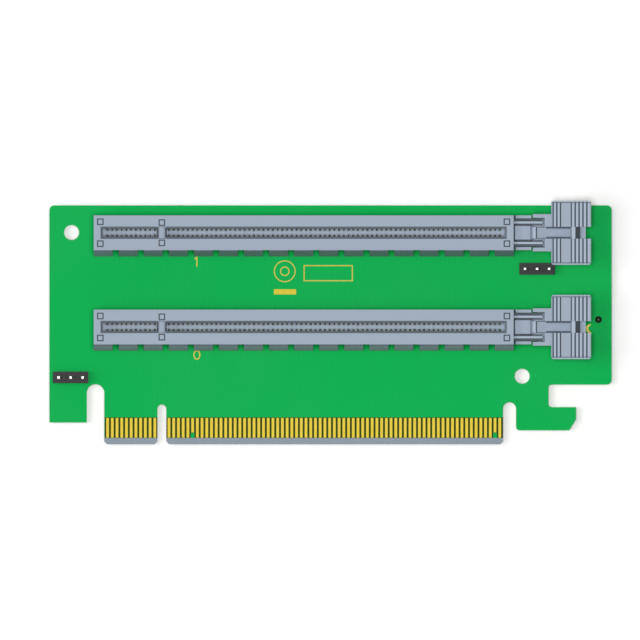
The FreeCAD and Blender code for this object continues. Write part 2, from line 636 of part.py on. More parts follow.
def contact_row(slot, row_name, side):
    """One row of sprung contacts, each its own solid. Their legs stand in two staggered lines."""
    contacts = body(f"slot_{slot}_contacts_{row_name}", up=SLOT_LINES[slot])
    tip = ("(contact_gap / 2 + tip_back)", "housing_height - chamber_roof - tip_gap")
    bump = ("(contact_gap / 2)", "housing_height - chamber_roof - tip_gap - bump_drop")
    legs = {
        "outer_leg": (f"({HALF_HOUSING} - chamber_wall - outer_leg_gap)", "0"),
        "inner_leg": ("inner_leg", "1"),
    }
    for run, (first, count) in CONTACT_RUNS.items():
        for leg, (middle, skipped) in legs.items():
            inside, outside = f"({middle} - leg_thickness / 2)", f"({middle} + leg_thickness / 2)"
            corners = [(inside, "0"), (outside, "0"), (outside, "knee_share * housing_height"), tip, bump]
            if side < 0:
                corners = [(f"-({across})", up) for across, up in reversed(corners)]
            name = f"{run}_{leg}"
            profile = sketch(contacts, name + "_outline", "YZ_Plane", f"{first} + pitch * {skipped}")
            outline(profile, corners)
            one = pad(contacts, name + "_first", profile, "contact_width", symmetric=True)
            row_of(contacts, name + "s", [one], "2 * pitch", f"trunc(({count} + 1 - {skipped}) / 2)")
    return contacts


TRUNK_TOP = "(housing_height - trunk_drop)"
WING_TOP = "(housing_height + wing_rise)"
WING_BOTTOM = f"({WING_TOP} - wing_height)"
CUT_TOP = f"({WING_TOP} + lap)"


def wing_profile():
    """The wings seen from the side: a flat top between two front ribs and a falling row of rear ribs."""
    rear_pitch = "((wing_right - rear_rib_start) / rear_rib_count)"
    corners = [
        ("wing_left", WING_BOTTOM),
        ("wing_right - wing_heel_run", WING_BOTTOM),
        ("wing_right", f"{WING_BOTTOM} + wing_heel_rise"),
    ]
    ribs = round(number("rear_rib_count"))
    for place in range(ribs, 0, -1):
        corners.append((f"rear_rib_start + {place} * {rear_pitch}", f"{WING_TOP} - {place} * rib_fall",
                        f"rib_roundness * {rear_pitch}"))
    corners.append(("rear_rib_start", WING_TOP))
    for place in (2, 1):
        corners.append((f"front_rib_start + {place} * front_rib_pitch", WING_TOP,
                        "rib_roundness * front_rib_pitch"))
    corners.append(("front_rib_start", WING_TOP))
    corners.append(("wing_left", f"{WING_TOP} - wing_toe"))
    return corners


def latch_wings(latch):
    """The two wings as one bar with round corners and a bevel along each outer end."""
    wings = sketch(latch, "wing_outline", "XZ_Plane")
    outline(wings, wing_profile())
    pad(latch, "wings", wings, f"2 * {WING_END}", symmetric=True)
    dress(latch, "Fillet", "wing_corners", [
        (across, up) for across in ("wing_left", "wing_right") for up in (WING_END, f"-{WING_END}")
    ], "wing_corner")
    bevel = sketch(latch, "wing_bevel_outline", "YZ_Plane")
    reach = "(1 + lap / wing_bevel)"
    inner, outer = f"({WING_END} - wing_bevel)", f"({WING_END} + lap)"
    low = f"({WING_TOP} - wing_bevel_fall * {reach})"
    outline(bevel, [(inner, WING_TOP), (outer, low), (outer, CUT_TOP), (inner, CUT_TOP)])
    outline(bevel, [
        (f"-{inner}", CUT_TOP),
        (f"-{outer}", CUT_TOP),
        (f"-{outer}", low),
        (f"-{inner}", WING_TOP),
    ])
    pocket(latch, "wing_bevel_cut", bevel, "4 * wing_right", symmetric=True)


def latch_channel(latch):
    """The channel that a card's edge lies in: open at the front, then a throat that widens upwards."""
    channel = sketch(latch, "channel_outline", "XZ_Plane")
    rectangle(channel, "trunk_left - lap", "throat_left", "ejector_top", CUT_TOP)
    pocket(latch, "channel_cut", channel, "2 * channel_half", symmetric=True)
    throat = sketch(latch, "throat_outline", "YZ_Plane", "throat_left")
    outline(throat, [
        ("-throat_half", "ejector_top"),
        ("throat_half", "ejector_top"),
        ("channel_half", TRUNK_TOP),
        ("channel_half", CUT_TOP),
        ("-channel_half", CUT_TOP),
        ("-channel_half", TRUNK_TOP),
    ])
    pocket(latch, "throat_cut", throat, "throat_right - throat_left", reverse=True)


def latch_nose(latch):
    """The nose that reaches over the throat, with a steep back that runs out in a hollow to the rear."""
    behind = sketch(latch, "behind_throat_outline", "XZ_Plane")
    tail_top = f"({TRUNK_TOP} - nose_tail_fall)"
    rectangle(behind, "throat_right - slight_lap", "wing_right + lap", tail_top, CUT_TOP)
    pocket(latch, "behind_throat_cut", behind, "2 * channel_half", symmetric=True)
    end_gap = sketch(latch, "end_gap_outline")
    rectangle(end_gap, "nose_right", "wing_right + lap", "-channel_half", "channel_half")
    pocket(latch, "end_gap_cut", end_gap, CUT_TOP, reverse=True)

    nose = sketch(latch, "nose_outline", "XZ_Plane")
    ridge = f"({WING_TOP} - nose_dip)"
    outline(nose, [
        ("nose_left", TRUNK_TOP),
        ("throat_right", TRUNK_TOP),
        ("throat_right", f"{TRUNK_TOP} - lap"),
        ("nose_right", f"{TRUNK_TOP} - lap"),
        ("nose_right", tail_top, "nose_hollow", "hollow"),
        ("nose_left + nose_back", f"{TRUNK_TOP} - nose_back_fall"),
        ("nose_left + nose_ridge", ridge),
        ("nose_left + nose_lead", ridge),
        ("nose_left", f"{TRUNK_TOP} + nose_lip"),
    ])
    pad(latch, "nose", nose, "2 * channel_half", symmetric=True)


def slot_latch(slot):
    """One latch: wings to press, a trunk with a channel for the card, a nose, an ejector and two arms."""
    latch = body(f"slot_{slot}_latch", up=SLOT_LINES[slot], across=PIVOT)
    latch_wings(latch)

    trunk = sketch(latch, "trunk_outline", "XZ_Plane")
    outline(trunk, [
        ("trunk_left", "trunk_bottom"),
        ("trunk_heel", "trunk_bottom"),
        ("nose_right", f"{WING_BOTTOM} - lap"),
        ("nose_right", TRUNK_TOP),
        ("trunk_left", TRUNK_TOP),
    ])
    pad(latch, "trunk", trunk, f"2 * {ARM_OUTER}", symmetric=True)

    arms = sketch(latch, "arm_outline", "XZ_Plane")
    outline(arms, [
        ("-arm_radius", "pivot_up", "arm_radius"),
        ("0", "pivot_up - arm_radius", "arm_radius"),
        ("arm_radius", "pivot_up"),
        ("arm_lap", "trunk_bottom + lap"),
        ("arm_lap", TRUNK_TOP),
        ("trunk_left", TRUNK_TOP),
        ("-arm_radius", f"{TRUNK_TOP} - arm_fall"),
    ])
    pad(latch, "arms", arms, f"2 * {ARM_OUTER}", symmetric=True)

    between_arms = sketch(latch, "between_arms_outline", "XZ_Plane")
    below = "(pivot_up - arm_radius - lap)"
    outline(between_arms, [
        ("-arm_radius - lap", below),
        ("trunk_heel", below),
        ("trunk_heel", "trunk_bottom"),
        ("trunk_left", "trunk_bottom"),
        ("trunk_left", f"{TRUNK_TOP} + lap"),
        ("-arm_radius - lap", f"{TRUNK_TOP} + lap"),
    ])
    pocket(latch, "between_arms_cut", between_arms, f"2 * {ARM_INNER}", symmetric=True)

    latch_channel(latch)
    latch_nose(latch)

    ejector = sketch(latch, "ejector_outline", "XZ_Plane")
    outline(ejector, [
        ("ejector_nip - ejector_reach", "trunk_bottom"),
        ("throat_left + slight_lap", "trunk_bottom"),
        ("throat_left + slight_lap", "ejector_top"),
        ("ejector_bevel - ejector_reach", "ejector_top"),
        ("-ejector_reach", "trunk_bottom + ejector_nip"),
    ])
    pad(latch, "ejector", ejector, "2 * ejector_half", symmetric=True)

    pivots = sketch(latch, "pivot_outline", "XZ_Plane")
    circle(pivots, "0", "pivot_up", "stub_size + 2 * stub_clearance")
    latch.Tip = pocket(latch, "pivot_cut", pivots, f"2 * ({ARM_OUTER} + lap)", symmetric=True)
    return latch


def header_body(label, across, up):
    """A header's black body, with a square hole for each pin."""
    header = body(label + "_body", up=up, across=across)
    block = sketch(header, "block_outline")
    rectangle(block, "-header_length / 2", "header_length / 2", "-header_width / 2", "header_width / 2")
    pad(header, "block", block, "header_height")
    sockets = sketch(header, "post_outlines")
    gap = "(post_size / 2 + post_fit)"
    for place in range(round(number("header_count"))):
        middle = post_line("0", place)
        rectangle(sockets, f"{middle} - {gap}", f"{middle} + {gap}", f"-{gap}", gap)
    header.Tip = pocket(header, "post_cut", sockets, "header_height", reverse=True)
    return header


def header_pin(label, across, up, place):
    """One square pin, from its tip down through the board to its tail, with a chamfer at each end."""
    pin = body(f"{label}_pin_{place + 1}", up=up, across=post_line(across, place))
    half = "(post_size / 2)"
    base = sketch(pin, "post_outline", offset=f"{BOARD_BACK} - post_tail + post_point")
    rectangle(base, f"-{half}", half, f"-{half}", half)
    pad(pin, "post", base, "post_top + board_thickness + post_tail - 2 * post_point")
    for name, level, upside_down in (("tip", "post_top - post_point", False),
                                     ("tail", f"{BOARD_BACK} - post_tail + post_point", True)):
        end = sketch(pin, name + "_outline", offset=level)
        rectangle(end, f"-{half}", half, f"-{half}", half)
        pad(pin, name, end, "post_point", reverse=upside_down, taper="-atan(post_lead / post_point)")
    return pin


def test_pad():
    """The bare plated bar between the two slots."""
    plate = body("test_pad", up=f"({SLOT_LINES[1]} - pad_drop)", across="pad_across")
    bar = sketch(plate, "bar_outline")
    rectangle(bar, "-pad_length / 2", "pad_length / 2", "-pad_width / 2", "pad_width / 2")
    pad(plate, "bar", bar, "copper")
    return plate


def check(pieces):
    """Stops if a feature failed or a piece isn't a valid solid."""
    for thing in DOC.Objects:
        if "Invalid" in thing.State or "Error" in thing.State:
            raise RuntimeError(f"{thing.Name} failed: {thing.State}")
    for piece in pieces:
        if piece.Shape.isNull() or not piece.Shape.isValid() or not piece.Shape.Solids:
            raise RuntimeError(f"{piece.Label} has no valid solid")


def build():
    """Makes every piece, in the order in which the card is put together."""
    fill_sheet()
    pieces = [
        circuit_board(),
        edge_fingers("front_edge_fingers", "0", True),
        edge_fingers("back_edge_fingers", BOARD_BACK, False),
        test_pad(),
    ]
    for slot in (1, 0):
        pieces.append(slot_housing(slot))
        pieces.append(contact_row(slot, "upper_row", 1))
        pieces.append(contact_row(slot, "lower_row", -1))
        pieces.append(slot_latch(slot))
    for label, (across, up) in HEADER_SPOTS.items():
        pieces.append(header_body(label, across, up))
        pieces += [header_pin(label, across, up, place) for place in range(round(number("header_count")))]
    return pieces


PIECES = build()
DOC.recompute()
check(PIECES)
os.makedirs("parts", exist_ok=True)
for piece in PIECES:
    piece.Shape.exportStep(f"parts/{piece.Label}.step")
    box = piece.Shape.BoundBox
    print(f"{piece.Label}: {len(piece.Shape.Solids)} solid(s), {piece.Shape.Volume:.1f} cubic mm,",
          f"{box.XLength:.2f} x {box.YLength:.2f} x {box.ZLength:.2f} mm")
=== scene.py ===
# %% [markdown]
# A passive riser card lies on its back, and the camera looks straight down on it, as in a technical drawing.
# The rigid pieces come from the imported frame. This file gives each of them its finish and adds what is too
# fine for the solids: the bent contact springs, the solder on the back and the print on the board.

# %% Load the frame
import math

import bpy
import numpy as np
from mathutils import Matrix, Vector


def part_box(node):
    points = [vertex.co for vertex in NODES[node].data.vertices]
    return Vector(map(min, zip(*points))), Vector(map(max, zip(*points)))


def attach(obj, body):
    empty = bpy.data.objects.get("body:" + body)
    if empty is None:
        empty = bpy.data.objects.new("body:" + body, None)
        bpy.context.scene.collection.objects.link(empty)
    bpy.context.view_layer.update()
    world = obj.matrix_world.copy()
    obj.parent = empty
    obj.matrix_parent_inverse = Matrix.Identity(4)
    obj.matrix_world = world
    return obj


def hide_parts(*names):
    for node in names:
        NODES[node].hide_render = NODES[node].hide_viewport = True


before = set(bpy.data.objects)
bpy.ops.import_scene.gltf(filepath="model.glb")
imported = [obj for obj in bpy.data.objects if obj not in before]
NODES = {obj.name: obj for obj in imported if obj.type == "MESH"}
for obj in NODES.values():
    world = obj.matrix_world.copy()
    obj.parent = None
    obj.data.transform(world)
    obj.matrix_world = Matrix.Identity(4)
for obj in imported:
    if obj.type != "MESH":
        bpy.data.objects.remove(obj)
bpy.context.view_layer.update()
MM = 0.001

# %% [markdown]
# Everything on a card is measured from two places: the middle of the key notch along the finger edge, and the
# finger edge itself. The board's own box gives both, because the notch lies a fixed way from the left edge.
# The front face is where the parts stand, and the back face is where their solder is.

# %% Find the card's datum
board_low, board_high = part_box("circuit_board")
KEY_FROM_LEFT = 23.79 * MM
KEY_X = board_low.x + KEY_FROM_LEFT
EDGE_Y = board_low.y
FRONT_Z = board_high.z
BACK_Z = board_low.z


def on_card(across, up, above=0.0):
    """A place in metres from millimetres along the edge, up from the edge and above the board's front."""
    return np.array([KEY_X + across * MM, EDGE_Y + up * MM, FRONT_Z + above * MM])


def slot_line(number):
    """The middle of a slot in Y: half way between its two rows of contacts."""
    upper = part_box(f"slot_{number}_contacts_upper_row")
    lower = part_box(f"slot_{number}_contacts_lower_row")
    return (upper[1].y + lower[0].y) / 2


SLOT_LINES = {number: slot_line(number) for number in (1, 0)}
SLOT_1_UP = (SLOT_LINES[1] - EDGE_Y) / MM
print("board thickness:", round((FRONT_Z - BACK_Z) / MM, 3), "mm, slot 1 at", round(SLOT_1_UP, 2), "mm")

# %% [markdown]
# A material is a small graph of nodes, and most of them repeat: a noise, a ramp between two values, a mix of
# two colours. These helpers add one node and link its inputs, so that each finish below reads as a short
# recipe. An input is either a plain value or the socket of another node, and plug takes both.

# %% Adding shader nodes


def plug(tree, socket, value):
    """Links another node's socket to this one, or sets this one to a plain value."""
    if isinstance(value, bpy.types.NodeSocket):
        tree.links.new(value, socket)
    else:
        socket.default_value = value


def node(tree, kind, **inputs):
    """Adds a shader node. Its inputs are given by name, or by number as i0, i1 and so on."""
    new = tree.nodes.new("ShaderNode" + kind)
    for name, value in inputs.items():
        numbered = name[0] == "i" and name[1:].isdigit()
        plug(tree, new.inputs[int(name[1:]) if numbered else name], value)
    return new


def maths(tree, operation, first, second=0.0, third=0.0):
    """The socket of a Math node that works on two or three values."""
    new = node(tree, "Math", i0=first, i1=second, i2=third)
    new.operation = operation
    return new.outputs[0]


def noise(tree, place, scale, detail=3.0):
    """A noise between 0 and 1, scale cycles to the metre."""
    return node(tree, "TexNoise", Vector=place, Scale=scale, Detail=detail).outputs["Fac"]


def between(tree, value, low, high, start=0.0, stop=1.0):
    """Carries value from low..high onto start..stop, smoothly and without overshoot."""
    new = tree.nodes.new("ShaderNodeMapRange")
    new.interpolation_type = "SMOOTHSTEP"
    for name, number in (("From Min", low), ("From Max", high), ("To Min", start), ("To Max", stop)):
        new.inputs[name].default_value = number
    tree.links.new(value, new.inputs["Value"])
    return new.outputs["Result"]


def mixed(tree, share, one, other):
    """A colour between one and other; each is a colour or a socket."""
    new = tree.nodes.new("ShaderNodeMix")
    new.data_type = "RGBA"
    for number, value in ((0, share), (6, one), (7, other)):
        plug(tree, new.inputs[number], value)
    return new.outputs[2]


print("node helpers ready in Blender", bpy.app.version_string)

# %% [markdown]
# Many finishes change at a place: the mask ends at the fingers, and a groove is darker than the face round
# it. Such a place is a range of one or more measures. Its share is one inside the range and zero outside it,
# and over a narrow soft side it runs from one to the other, so that no hard step shows in a close view.

# %% Soft ranges
SOFT = 0.06


def product(tree, *shares):
    """All shares multiplied."""
    whole = shares[0]
    for share in shares[1:]:
        whole = maths(tree, "MULTIPLY", whole, share)
    return whole


def nearest(tree, value, places):
    """How far a value is from the nearest of several places."""
    gaps = [maths(tree, "ABSOLUTE", maths(tree, "SUBTRACT", value, place)) for place in places]
    least = gaps[0]
    for gap in gaps[1:]:
        least = maths(tree, "MINIMUM", least, gap)
    return least


def within(tree, value, low, high, soft=SOFT):
    """One from low to high, and zero from a soft width outside them. A limit of None isn't tested."""
    sides = []
    if low is not None:
        sides.append(between(tree, value, low - soft, low))
    if high is not None:
        sides.append(between(tree, value, high + soft, high))
    return product(tree, *sides)


print("soft sides are", SOFT, "mm wide where nothing else is said")

# %% [markdown]
# Colours are written as a screen shows them, from 0 to 255, and the shader wants them linear, so one helper
# converts them. Each material starts from the principled shader and reads Object coordinates, which for every
# piece here are the card's own metres. A pattern made from them stays on its piece when the piece moves.

# %% Colours and a new material


def linear(red, green, blue):
    """A linear colour from its 0 to 255 values on screen."""
    shares = [value / 255 for value in (red, green, blue)]
    return [s / 12.92 if s <= 0.04045 else ((s + 0.055) / 1.055) ** 2.4 for s in shares] + [1.0]


def tone(colour, factor):
    """The colour made lighter or darker, by one factor or by one each for red, green and blue."""
    return [min(1.0, value * share) for value, share in zip(colour, np.broadcast_to(factor, 3))] + [1.0]


def new_material(name):
    """An empty material with its principled shader, its tree and a socket with Object coordinates."""
    made = bpy.data.materials.new(name)
    made.use_nodes = True
    tree = made.node_tree
    shader = tree.nodes["Principled BSDF"]
    place = tree.nodes.new("ShaderNodeTexCoord").outputs["Object"]
    return made, tree, shader, place


def bump(tree, shader, height, distance, strength=0.5):
    """Bends the shader's normal by a height socket; distance is in metres."""
    new = node(tree, "Bump", Height=height, Distance=distance, Strength=strength)
    tree.links.new(new.outputs["Normal"], shader.inputs["Normal"])
    return new


def dress(name, made):
    """Gives a CAD node one material on every slot."""
    mesh = NODES[name].data
    mesh.materials.clear()
    mesh.materials.append(made)


MASK_GREEN = linear(2, 174, 80)
print("mask green is", [round(value, 3) for value in MASK_GREEN[:3]], "in linear light")

# %% [markdown]
# Solder mask is a thin coat of green lacquer over copper and glass cloth. The mask stops short of the gold
# fingers, where bare laminate shows darker between the pads, and two pads are short, with mask below them.
# The bevel that was ground along the edge shows the grey laminate itself. All these zones come from the place
# on the board, in millimetres from the key notch and from the finger edge.

# %% The board's zones
PITCH = 1.0
TABS = (-12.0, 72.0)
BEVEL_TOP = 1.31
WINDOW_TOP = 5.65
WINDOW_RIGHT = 72.2
SHORT_PADS = (6.5, 70.5)
SHORT_PAD_HALF = 0.36
SHORT_PAD_FOOT = 2.40
TRACE_FOOT = 6.4
TRACE_HEAD = SLOT_1_UP - 0.3
TRACE_SIDE = 0.42


def board_measures(tree, place):
    """Across from the key notch and up from the finger edge, in millimetres."""
    axes = node(tree, "SeparateXYZ", Vector=place)
    return (maths(tree, "MULTIPLY_ADD", axes.outputs["X"], 1 / MM, -KEY_X / MM),
            maths(tree, "MULTIPLY_ADD", axes.outputs["Y"], 1 / MM, -EDGE_Y / MM))


def trace_lines(tree, across, up):
    """One along the copper traces, which run from the middle of each finger up to slot 1."""
    beat = maths(tree, "PINGPONG", across, PITCH / 2)
    return product(tree, within(tree, beat, TRACE_SIDE, None), within(tree, across, *TABS, soft=0.2),
                   within(tree, up, TRACE_FOOT, None, soft=0.4), within(tree, up, None, TRACE_HEAD, soft=0.3))


def bare_window(tree, across, up):
    """One where the mask is left off round the fingers, but not below the two short pads."""
    from_pad = nearest(tree, across, SHORT_PADS)
    masked = product(tree, within(tree, from_pad, None, SHORT_PAD_HALF, soft=0.04),
                     within(tree, up, None, SHORT_PAD_FOOT, soft=0.05))
    return product(tree, within(tree, up, None, WINDOW_TOP, soft=0.05),
                   within(tree, across, TABS[0], None, soft=0.2),
                   within(tree, across, None, WINDOW_RIGHT, soft=0.1),
                   maths(tree, "SUBTRACT", 1.0, masked))


print("finger window up to", WINDOW_TOP, "mm, traces up to", round(TRACE_HEAD, 2), "mm")

# %% [markdown]
# The mask is even in colour and nearly matt. The copper traces under it show as faint raised lines, and the
# cut sides of the board show the pale laminate. The zones are laid over each other from the whole to the
# part: mask, traces, window, bevel, and last the sides, which are told by where their normal points.

# %% The board's finish
WINDOW_COLOURS = linear(38, 54, 2), linear(52, 72, 5)
BEVEL_COLOURS = linear(139, 151, 162), linear(152, 164, 174)
SIDE_COLOURS = linear(150, 154, 96), linear(176, 178, 118)


def board_finish():
    """Green mask, a dark finger window, grey at the bevel and pale laminate at the cut sides."""
    made, tree, shader, place = new_material("solder_mask_over_laminate")
    across, up = board_measures(tree, place)
    cloud = noise(tree, place, scale=45.0)
    trace = trace_lines(tree, across, up)
    skin = mixed(tree, cloud, tone(MASK_GREEN, 0.965), tone(MASK_GREEN, 1.03))
    skin = mixed(tree, maths(tree, "MULTIPLY", trace, 0.35), skin, tone(MASK_GREEN, 1.12))
    window = mixed(tree, noise(tree, place, scale=900.0), *WINDOW_COLOURS)
    skin = mixed(tree, bare_window(tree, across, up), skin, window)
    bevel = mixed(tree, noise(tree, place, scale=1500.0), *BEVEL_COLOURS)
    skin = mixed(tree, within(tree, up, None, BEVEL_TOP, soft=0.04), skin, bevel)
    side = mixed(tree, noise(tree, place, scale=2200.0), *SIDE_COLOURS)
    facing = node(tree, "SeparateXYZ", Vector=tree.nodes.new("ShaderNodeNewGeometry").outputs["Normal"])
    level = within(tree, maths(tree, "ABSOLUTE", facing.outputs["Z"]), 0.6, None, soft=0.3)
    tree.links.new(mixed(tree, level, side, skin), shader.inputs["Base Color"])

    weave = node(tree, "TexWave", Vector=place, Scale=620.0, Distortion=0.4)
    weave.bands_direction = "X"
    height = maths(tree, "MULTIPLY_ADD", weave.outputs["Fac"], 0.06, trace)
    height = maths(tree, "MULTIPLY_ADD", noise(tree, place, scale=2600.0), 0.25, height)
    bump(tree, shader, height, distance=0.00002)
    tree.links.new(between(tree, cloud, 0.3, 0.7, 0.50, 0.58), shader.inputs["Roughness"])
    shader.inputs["Specular IOR Level"].default_value = 0.05
    return made


dress("circuit_board", board_finish())
print("board finished with", len(bpy.data.materials["solder_mask_over_laminate"].node_tree.nodes), "nodes")

# %% [markdown]
# Edge fingers are copper with hard gold plated over nickel. In the shader the gold is nearly half metal. That
# half reflects the room in the base colour, and the rest is as flat a yellow as in the picture. The plating
# has a fine brushed grain from scrubbing, along the way that a card slides, so the noise is stretched in Y.
# The etched sides of each pad are darker.

# %% Gold plating
GOLD = linear(207, 186, 55)
PAD_SIDE = 0.29
PADS_TOP = 7.0


def gold_finish():
    """Plated gold with a fine grain along Y, darker along the etched sides of each pad."""
    made, tree, shader, place = new_material("hard_gold_plating")
    stretched = node(tree, "Mapping", Vector=place, Scale=(1.0, 0.12, 1.0)).outputs["Vector"]
    grain = noise(tree, stretched, scale=5200.0, detail=4.0)
    plated = mixed(tree, grain, tone(GOLD, 0.93), tone(GOLD, 1.05))
    across, up = board_measures(tree, place)
    aside = maths(tree, "SUBTRACT", PITCH / 2, maths(tree, "PINGPONG", across, PITCH / 2))
    etched = product(tree, within(tree, aside, PAD_SIDE, None, soft=0.04),
                     within(tree, up, None, PADS_TOP, soft=1.0))
    tree.links.new(mixed(tree, etched, plated, tone(GOLD, 0.22)), shader.inputs["Base Color"])
    tree.links.new(between(tree, grain, 0.2, 0.8, 0.66, 0.76), shader.inputs["Roughness"])
    shader.inputs["Metallic"].default_value = 0.45
    bump(tree, shader, grain, distance=0.000004, strength=0.6)
    return made


gold = gold_finish()
for name in ("front_edge_fingers", "back_edge_fingers", "test_pad"):
    dress(name, gold)
print("gold on", len(NODES["front_edge_fingers"].data.polygons), "facets of the front fingers")

# %% [markdown]
# Slots and latches have the same outline twice, so a place on them is best told from the nearer slot's middle
# line. Three measures in millimetres do it: along from the housing's right end, aside from the slot's middle,
# and below the housings' top. They come from the piece's own coordinates, so what is placed by them follows a
# latch when it turns. Three more say how far it is along to the nearest mark, key bar or grip rib.

# %% Places round a slot
HOUSING_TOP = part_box("slot_1_housing")[1].z
HOUSING_LEFT, HOUSING_RIGHT = -14.44, 74.44
HOUSING_LENGTH = HOUSING_RIGHT - HOUSING_LEFT
KEY_BAR = -HOUSING_RIGHT
MARK_IN = 1.41
MARKS = [MARK_IN - HOUSING_LENGTH, KEY_BAR, -MARK_IN]
PIVOT = 5.66
FIRST_FRONT_RIB, FRONT_RIB_PITCH = 2.71, 0.78
FIRST_REAR_RIB, REAR_RIB_PITCH = 6.54, 0.826
FRONT_RIBS = [PIVOT + FIRST_FRONT_RIB + FRONT_RIB_PITCH * place for place in range(3)]
REAR_RIBS = [PIVOT + FIRST_REAR_RIB + REAR_RIB_PITCH * place for place in range(5)]
NEAR = {"from_mark": MARKS, "from_bar": [KEY_BAR], "from_rib": FRONT_RIBS + REAR_RIBS}


def slot_measures(tree, place, wanted):
    """Sockets in millimetres: along, aside and below, and of the measures in NEAR those that are wanted."""
    axes = node(tree, "SeparateXYZ", Vector=place)
    along = maths(tree, "MULTIPLY_ADD", axes.outputs["X"], 1 / MM, -KEY_X / MM - HOUSING_RIGHT)
    aside = maths(tree, "MULTIPLY", nearest(tree, axes.outputs["Y"], SLOT_LINES.values()), 1 / MM)
    below = maths(tree, "MULTIPLY_ADD", axes.outputs["Z"], -1 / MM, HOUSING_TOP / MM)
    near = {name: nearest(tree, along, places) for name, places in NEAR.items() if name in wanted}
    return {"along": along, "aside": aside, "below": below, **near}


print("housings are", HOUSING_LENGTH, "mm long, pivots lie", PIVOT, "mm beyond them")

# %% [markdown]
# The picture is drawn with more contrast than a lit room gives. Grooves and gaps are nearly black, and the
# floors deep in the slots are as pale as the top. So light and shade are painted into the plastic: each such
# region gets a tone, a factor on the plastic's colour, below one for painted shade and above one for painted
# light. A region is a list of ranges: the name of a measure, its two limits and, where it isn't the usual
# one, its soft width. Each lies where the moulded form turns or steps, so it looks natural from the side too.

# %% Painted light and shade on the housings
DEEP = 12.0
SLOT_LEFT, SLOT_RIGHT = -87.50, -1.40
BAR_LEFT, BAR_RIGHT = -75.35, -73.50
MOUTH = [("aside", None, 1.36), ("below", 0.06, 0.74)]
RAIL = ("along", 0.12, 6.10)
BUTTRESSES = ("along", -HOUSING_LENGTH, -0.02)

HOUSING_PAINTED_LIGHT_AND_SHADE = [
    # Painted shade in the grooves round the six square marks
    (0.22, [("from_mark", None, 0.74), ("aside", 1.42, 3.20), ("below", 0.06, 0.34)]),
    # Painted shade on the slot's sloped mouth, on both sides of the key bar
    (0.60, [("along", SLOT_LEFT, BAR_LEFT), *MOUTH]),
    (0.60, [("along", BAR_RIGHT, SLOT_RIGHT), *MOUTH]),
    # Painted light on the shaded floors of the slot and of the latch's seat, where the tone fades out
    (1.38, [("along", SLOT_LEFT, 3.50), ("along", None, 1.50, 3.30), ("aside", None, 1.42),
            ("below", 5.4, DEEP)]),
    # Painted shade on the flanks and ends of the key bar
    (0.35, [("from_bar", 0.76, 0.96), ("aside", None, 1.34), ("below", 0.55, DEEP)]),
    (0.35, [("from_bar", None, 0.62), ("aside", 1.24, 1.34), ("below", 0.10, 0.60)]),
    # Painted highlight on the tops of the rails, and painted shade in the gaps outside and inside them
    (1.15, [RAIL, ("aside", 1.97, 2.37), ("below", 1.50, 1.80)]),
    (0.45, [RAIL, ("aside", 2.46, 3.02), ("below", 2.20, DEEP)]),
    (0.45, [RAIL, ("aside", 1.52, 1.90), ("below", 2.20, DEEP)]),
    # Painted shade on the buttresses' faces, less green to offset the board's green light on them, and on
    # their ledges
    ((0.86, 0.76, 0.84), [BUTTRESSES, ("aside", 3.82, 6.0), ("below", 0.5, DEEP)]),
    (0.30, [BUTTRESSES, ("aside", 3.76, 3.96), ("below", 0.85, 1.30)]),
    # Painted shade at the foot of the wall at the seat, and in the gap before each cheek
    (0.30, [("along", 0.02, 0.26), ("aside", None, 1.50), ("below", 5.0, DEEP)]),
    (0.40, [("along", 0.02, 0.50), ("aside", 3.05, 3.80), ("below", 5.0, DEEP)]),
]
print(len(HOUSING_PAINTED_LIGHT_AND_SHADE), "regions on each housing")

# %% [markdown]
# A latch is pressed with a thumb, so its wings have grip ribs. In the picture they are pale between dark
# valleys, so the ribs get painted light and the valleys painted shade. The nose between the wings holds the
# card; it gets a painted highlight on its front and painted shade in the hollow behind it. The ejector's tip,
# down in the seat, is a slope that lifts the card when the latch turns; it gets painted light, and a painted
# shade line runs along its upper edge.

# %% Painted light and shade on the latches
WING = [("aside", 1.30, 6.38), ("below", None, 1.3)]
WING_END = [("along", FRONT_RIBS[0] - 0.35, PIVOT + 10.60), ("below", None, 1.3)]
NOSE_LEFT = PIVOT + 6.40
NOSE = [("aside", None, 1.20), ("below", None, 1.3)]
EJECTOR_EDGE = PIVOT - 0.85
EJECTOR = [("aside", None, 1.50), ("below", 4.5, 7.0)]

LATCH_PAINTED_LIGHT_AND_SHADE = [
    # Painted light on the grip ribs at the front and at the rear
    (1.19, [("along", FRONT_RIBS[0], FRONT_RIBS[-1]), *WING]),
    (1.19, [("along", REAR_RIBS[0], REAR_RIBS[-1] + 0.9), *WING]),
    # Painted highlight on the wings' bevelled ends, and a painted shade line beside them
    (1.22, [("aside", 6.50, 6.90), *WING_END]),
    (0.25, [("aside", 6.33, 6.43), *WING_END]),
    # Painted shade in the valleys between the ribs
    (0.20, [("from_rib", None, 0.10, 0.08), *WING]),
    # Painted highlight on the front of the nose, and painted shade in the hollow behind it
    (1.22, [("along", NOSE_LEFT + 0.10, NOSE_LEFT + 0.90), *NOSE]),
    (0.22, [("along", NOSE_LEFT + 1.05, NOSE_LEFT + 2.00), *NOSE]),
    # Painted highlight on the ejector's sloped tip, and painted shade on the line above it and in the gaps
    # beside it
    (1.55, [("along", EJECTOR_EDGE - 0.15, None, 0.95), ("along", None, EJECTOR_EDGE - 0.05, 0.05),
            *EJECTOR]),
    (0.20, [("along", EJECTOR_EDGE - 0.10, EJECTOR_EDGE + 0.10, 0.10), *EJECTOR]),
    (0.22, [("along", EJECTOR_EDGE, PIVOT + 0.95), ("aside", 1.13, 1.24, 0.07), EJECTOR[1]]),
]
print(len(LATCH_PAINTED_LIGHT_AND_SHADE), "regions on each latch")

# %% [markdown]
# Slot housings and latches are moulded from glass-filled plastic. The colour is even, but the surface has the
# fine matt texture of the mould, faint streaks where the melt ran along the housing, and a painted highlight
# on the edges. The pin headers are the same kind of plastic in black, without the regions of painted light
# and shade.

